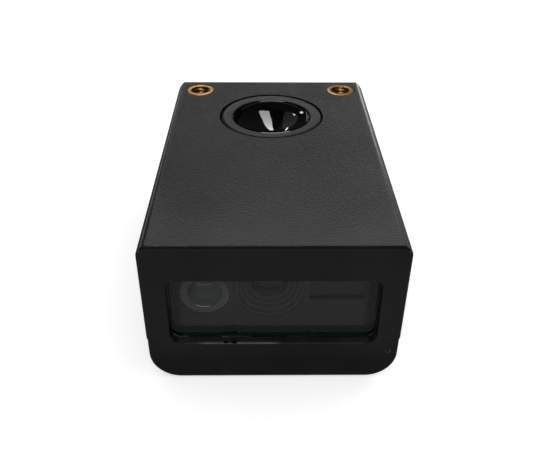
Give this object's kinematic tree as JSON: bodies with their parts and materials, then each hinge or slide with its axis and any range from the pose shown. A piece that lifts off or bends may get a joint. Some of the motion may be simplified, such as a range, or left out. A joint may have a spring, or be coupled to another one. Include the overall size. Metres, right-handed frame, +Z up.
{
  "type": "barcode scanner",
  "caption": "Compact fixed-mount barcode scanner: black moulded box with a front scan window, a round trigger button and brass threaded inserts in the top face.",
  "frame": {"origin": "middle of the footprint on the bottom face", "axes": "+Z up, towards the face with the button and the inserts; -Y out of the scan window; +Y towards the rear wall with the socket; +X to the right as seen from the front"},
  "size_m": [0.032, 0.05, 0.021],
  "materials": {
    "housing_plastic": "fine spark-eroded grain, satin black",
    "cover_plastic": "satin black",
    "window_pane": "clear, polished",
    "gasket_foam": "matt black foam",
    "insert_brass": "turned and knurled",
    "screw_steel": "black zinc",
    "small_screw_steel": "bright zinc",
    "button_satin": "satin black, smooth",
    "button_gloss": "polished black",
    "switch_plastic": "black",
    "switch_steel": "bright",
    "board_green": "solder mask on glass laminate",
    "board_black": "black solder mask",
    "connector_black": "black",
    "connector_ivory": "ivory",
    "contact_gold": "gold flash",
    "chip_epoxy": "black epoxy",
    "capacitor_ceramic": "fired ceramic",
    "buzzer_plastic": "black",
    "socket_steel": "drawn stainless steel",
    "engine_plastic": "matt dark grey",
    "barrel_plastic": "matt black, stepped",
    "lens_glass": "coated",
    "sensor_chip": "dark glass on ceramic",
    "light_lens": "clear moulded",
    "aimer_window": "smoked moulded",
    "light_phosphor": "cast phosphor",
    "flex_film": "amber polyimide film"
  },
  "bodies": {
    "housing": {"top_housing": "housing_plastic", "bottom_cover": "cover_plastic", "scan_window": "window_pane", "window_gasket": "gasket_foam", "threaded_inserts": "insert_brass", "cover_screws": "screw_steel", "switch_base": "switch_plastic", "switch_cover": "switch_steel", "switch_legs": "switch_steel", "switch_board": "board_green", "switch_board_screws": "small_screw_steel", "link_socket": "connector_black", "link_header": "connector_black", "link_pins": "contact_gold", "main_board": "board_green", "board_screws": "small_screw_steel", "decoder_chip": "chip_epoxy", "memory_chip": "chip_epoxy", "chip_capacitors": "capacitor_ceramic", "buzzer": "buzzer_plastic", "socket_shell": "socket_steel", "socket_body": "connector_black", "socket_contacts": "contact_gold", "engine_chassis": "engine_plastic", "engine_screws": "small_screw_steel", "camera_barrel": "barrel_plastic", "camera_lens": "lens_glass", "image_sensor": "sensor_chip", "engine_board": "board_green", "engine_board_screws": "small_screw_steel", "led_board": "board_black", "led_lens": "light_lens", "led_chip": "light_phosphor", "aimer_lens": "aimer_window", "aimer_led": "light_phosphor", "flex_connector_upper": "connector_ivory", "flex_connector_lower": "connector_ivory", "engine_flex": "flex_film"},
    "button": {"button_ring": "button_satin", "button_dish": "button_gloss", "switch_plunger": "switch_plastic"}
  },
  "joints": [
    {"name": "button_press", "type": "slide", "parent": "housing", "child": "button", "axis": [0, 0, -1], "range_m": [0, 0.0005], "stiffness_N_per_m": 2000, "springref_m": -0.0002}
  ]
}
